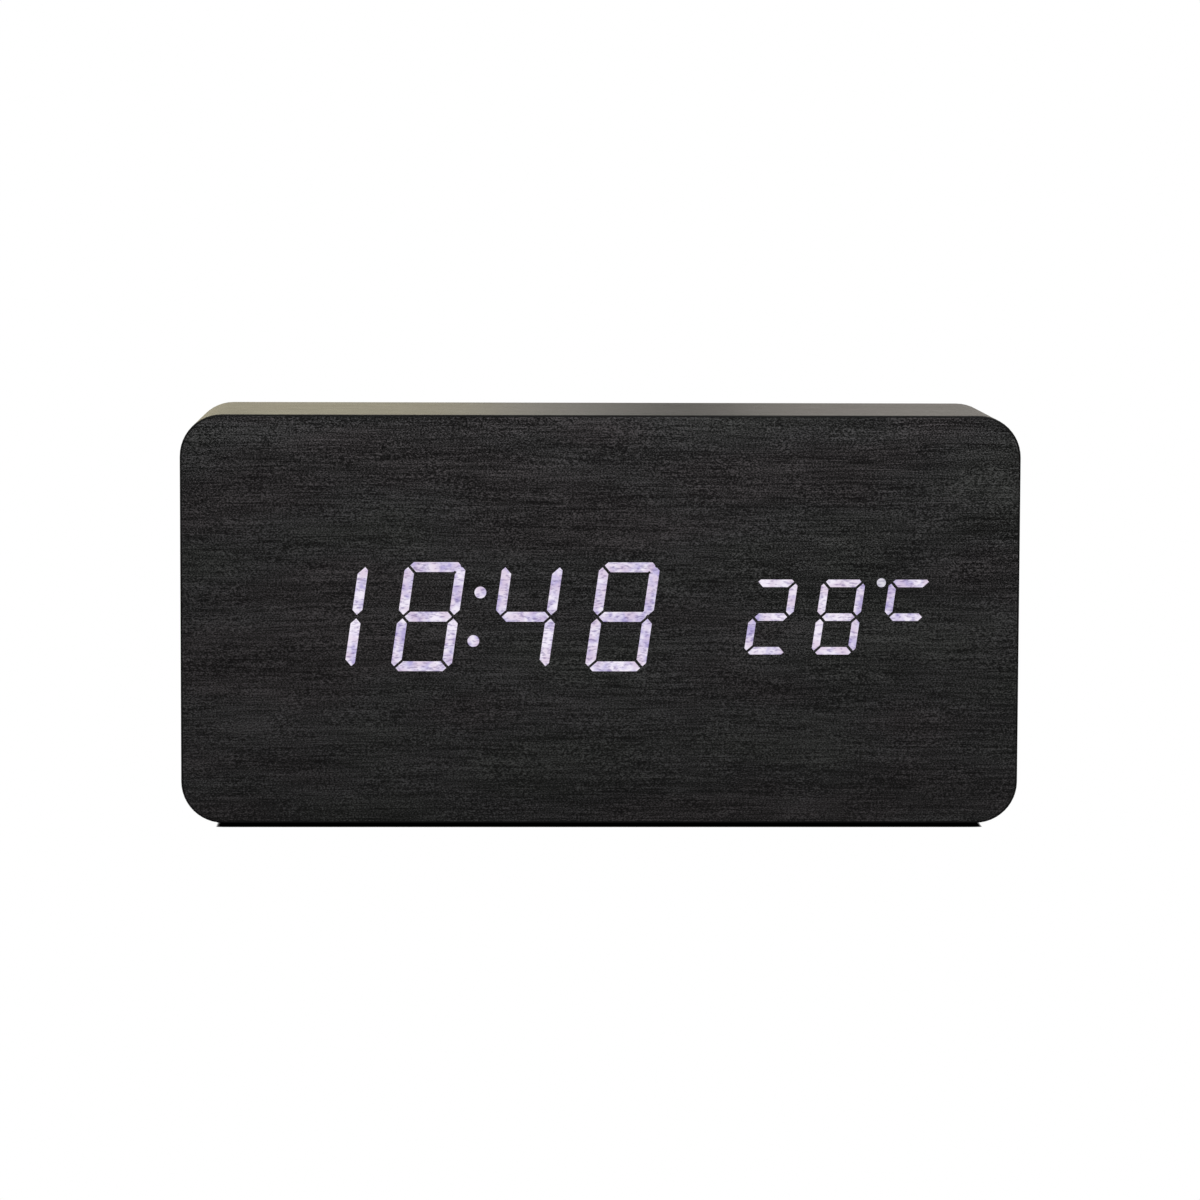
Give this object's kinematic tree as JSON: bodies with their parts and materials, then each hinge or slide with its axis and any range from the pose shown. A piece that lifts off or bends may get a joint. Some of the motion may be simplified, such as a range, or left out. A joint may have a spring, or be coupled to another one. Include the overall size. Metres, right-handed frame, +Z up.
{
  "type": "digital alarm clock",
  "caption": "Black wood-look block clock: time and temperature shine through the front film; push buttons, power socket and a hinged battery door on the back.",
  "frame": {"origin": "on the table, under the middle of the block", "axes": "+X to the right seen from the front, +Y from the front face to the back, +Z up"},
  "size_m": [0.148, 0.042, 0.073],
  "materials": {
    "wood_film": "black wood-grain film, satin",
    "lit_film": "the same film with light behind it, cool white",
    "fibreboard": "fibreboard, black on the rear rim",
    "foot_rubber": "soft black rubber",
    "mask_film": "matt black film",
    "milky_sheet": "milky sheet",
    "white_plastic": "white moulded plastic",
    "circuit_board": "green solder mask on glass-fibre board",
    "diode_resin": "yellow resin on a white package",
    "chip_resin": "black moulded resin",
    "plated_steel": "nickel-plated steel",
    "capacitor_sleeve": "dark blue shrink sleeve",
    "black_plastic": "fine-grained black moulding",
    "door_plastic": "fine-grained black moulding",
    "button_plastic": "smooth black moulding",
    "dark_steel": "black-plated steel",
    "cell_sleeve": "printed sleeve on a steel can, left plain",
    "ribbon_grey": "grey ribbon cable",
    "red_lead": "red wire insulation",
    "black_lead": "black wire insulation",
    "sensor_resin": "brown resin bead"
  },
  "bodies": {
    "case": {"case_core": "fibreboard", "side_wrap": "wood_film", "front_film": "wood_film", "rubber_feet": "foot_rubber", "time_segments": "lit_film", "colon_dots": "lit_film", "temperature_segments": "lit_film", "degree_dot": "lit_film", "segment_mask": "mask_film", "diffuser_sheet": "milky_sheet", "reflector_frame": "white_plastic", "display_board": "circuit_board", "display_leds": "diode_resin", "display_board_screws": "plated_steel", "controller_chip": "chip_resin", "driver_chip": "chip_resin", "clock_crystal": "plated_steel", "smoothing_capacitor": "capacitor_sleeve", "rear_panel": "black_plastic", "rear_panel_screws": "dark_steel", "cell_upper": "cell_sleeve", "cell_middle": "cell_sleeve", "cell_lower": "cell_sleeve", "positive_contact": "plated_steel", "negative_contact": "plated_steel", "left_bridge_contact": "plated_steel", "right_bridge_contact": "plated_steel", "cell_springs": "plated_steel", "control_board": "circuit_board", "control_board_screws": "plated_steel", "push_switches": "chip_resin", "socket_shell": "plated_steel", "socket_tongue": "chip_resin", "alarm_buzzer": "chip_resin", "temperature_sensor": "sensor_resin", "board_ribbon": "ribbon_grey", "positive_lead": "red_lead", "negative_lead": "black_lead"},
    "set_button": {"set_button": "button_plastic", "set_plunger": "chip_resin"},
    "up_button": {"up_button": "button_plastic", "up_plunger": "chip_resin"},
    "down_button": {"down_button": "button_plastic", "down_plunger": "chip_resin"},
    "battery_door": {"battery_door": "door_plastic"}
  },
  "joints": [
    {"name": "set_button_press", "type": "slide", "parent": "case", "child": "set_button", "axis": [0, -1, 0], "range_m": [0, 0.0003], "stiffness_N_per_m": 2000},
    {"name": "up_button_press", "type": "slide", "parent": "case", "child": "up_button", "axis": [0, -1, 0], "range_m": [0, 0.0003], "stiffness_N_per_m": 2000},
    {"name": "down_button_press", "type": "slide", "parent": "case", "child": "down_button", "axis": [0, -1, 0], "range_m": [0, 0.0003], "stiffness_N_per_m": 2000},
    {"name": "battery_door_hinge", "type": "hinge", "parent": "case", "child": "battery_door", "pos_m": [-0.022, 0.01855, 0.0193], "axis": [-1, 0, 0], "range_deg": [0, 75]}
  ]
}
